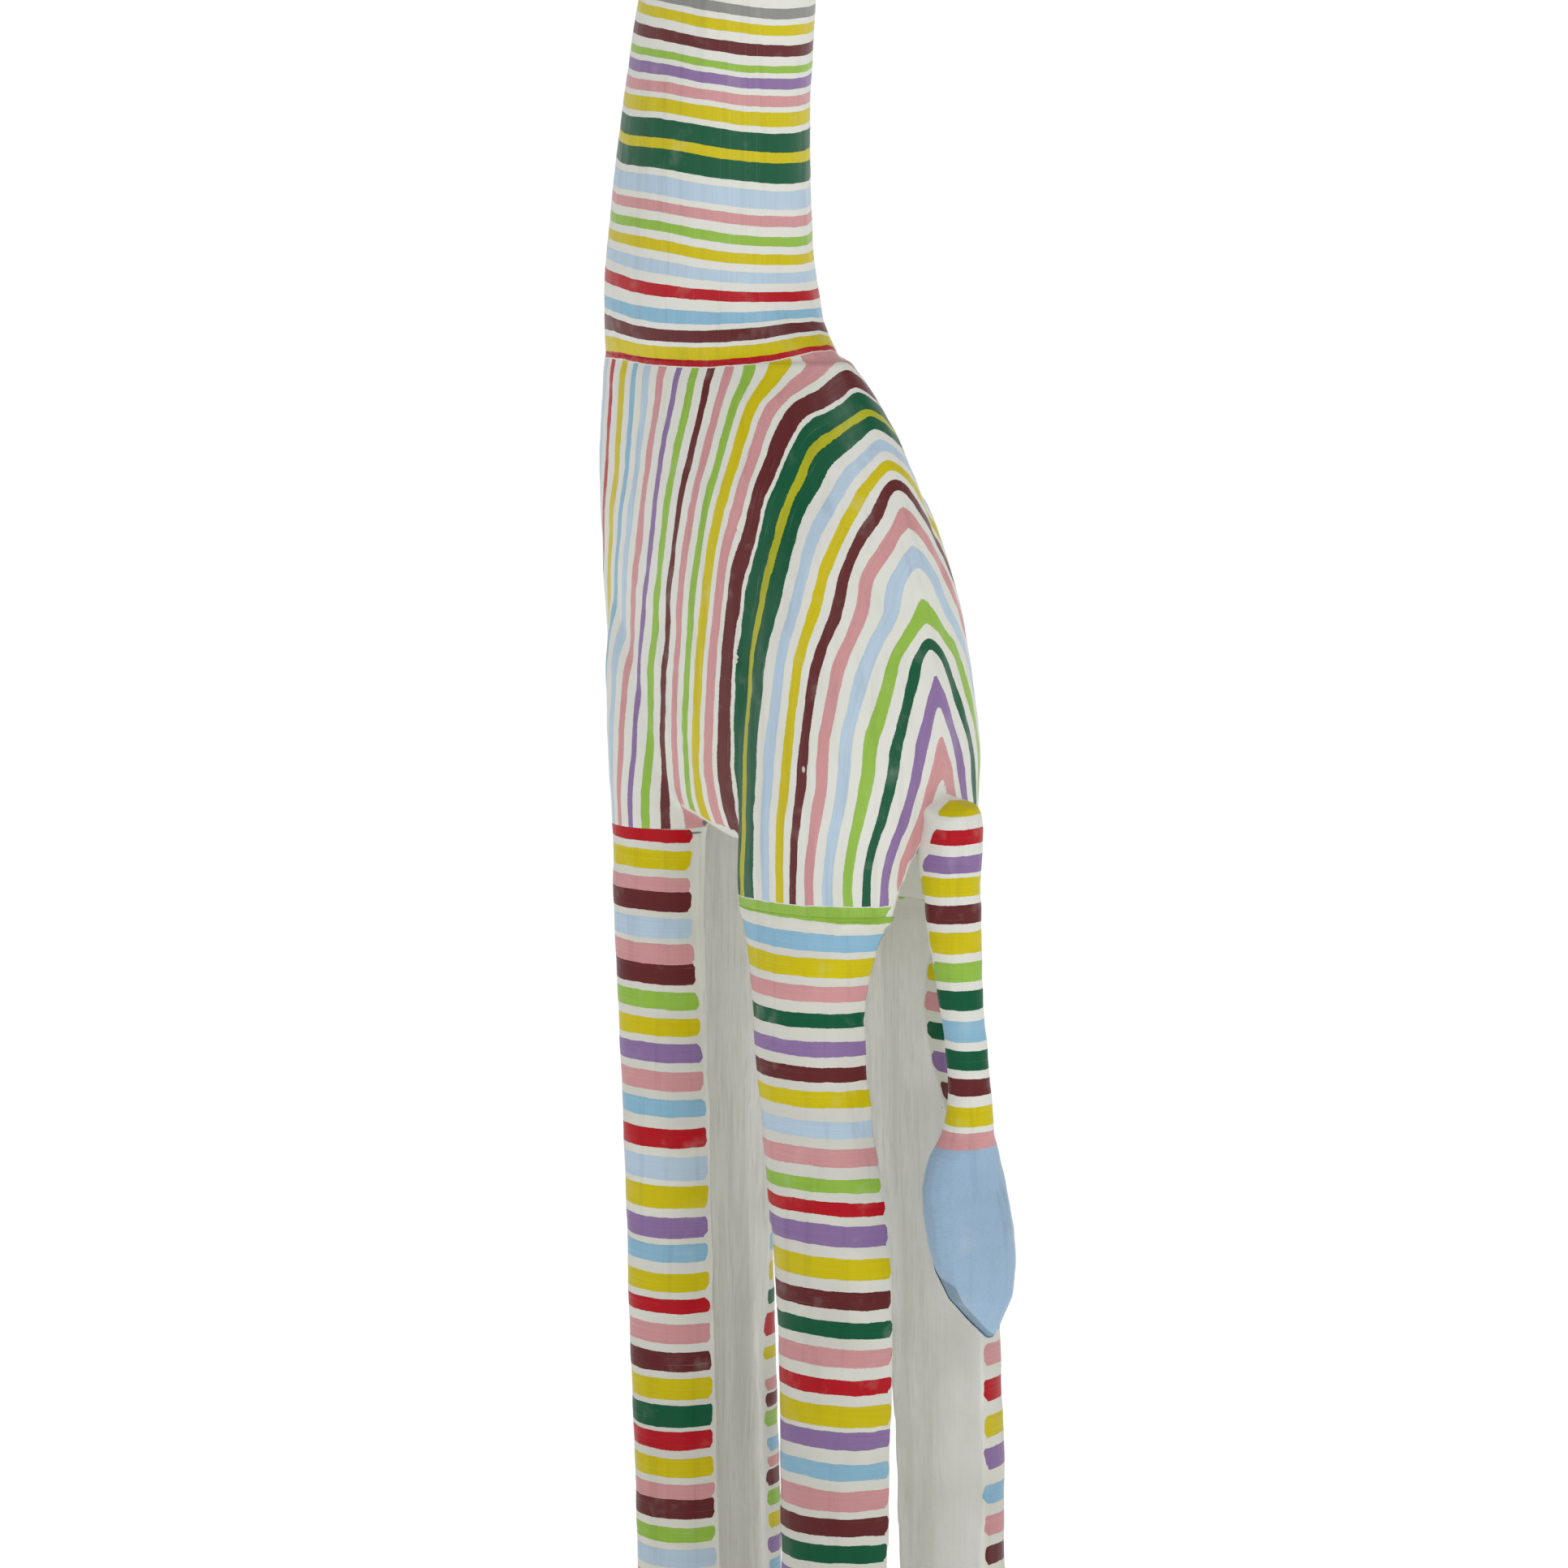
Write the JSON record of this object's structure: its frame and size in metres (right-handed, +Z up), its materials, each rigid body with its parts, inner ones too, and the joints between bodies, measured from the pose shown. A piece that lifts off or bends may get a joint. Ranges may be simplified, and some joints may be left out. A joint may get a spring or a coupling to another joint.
{
  "type": "carved giraffe statue",
  "caption": "Tall standing giraffe carved in wood, long neck upright, tail hanging free, white with painted rings and stripes in many colours.",
  "frame": {"origin": "on the floor, at the centre of the bounding box's footprint", "axes": "+Z up; -Y is the way the giraffe faces; +X is its left side"},
  "size_m": [0.2074, 0.412, 1.8395],
  "materials": {
    "banded_enamel": "brushed semi-gloss enamel: off-white with rings and stripes in about ten colours",
    "head_enamel": "brushed semi-gloss enamel: off-white with a few coloured rings, dark eyes and nostrils",
    "ear_enamel": "brushed semi-gloss enamel: off-white, pink inside",
    "horn_enamel": "brushed semi-gloss enamel: off-white stem with rings, dark knob",
    "tail_enamel": "brushed semi-gloss enamel: coloured rings above a plain light-blue tuft",
    "dowel_wood": "bare hardwood dowel with dried glue"
  },
  "bodies": {
    "root": {"torso": "banded_enamel", "neck": "banded_enamel", "head": "head_enamel", "ear_left": "ear_enamel", "ear_right": "ear_enamel", "ossicone_left": "horn_enamel", "ossicone_right": "horn_enamel", "front_leg_left": "banded_enamel", "front_leg_right": "banded_enamel", "hind_leg_left": "banded_enamel", "hind_leg_right": "banded_enamel", "tail": "tail_enamel", "head_dowel": "dowel_wood", "neck_cross_dowel": "dowel_wood", "front_cross_dowel": "dowel_wood", "rear_cross_dowel": "dowel_wood", "tail_peg": "dowel_wood", "ear_peg_left": "dowel_wood", "ear_peg_right": "dowel_wood"}
  },
  "joints": []
}
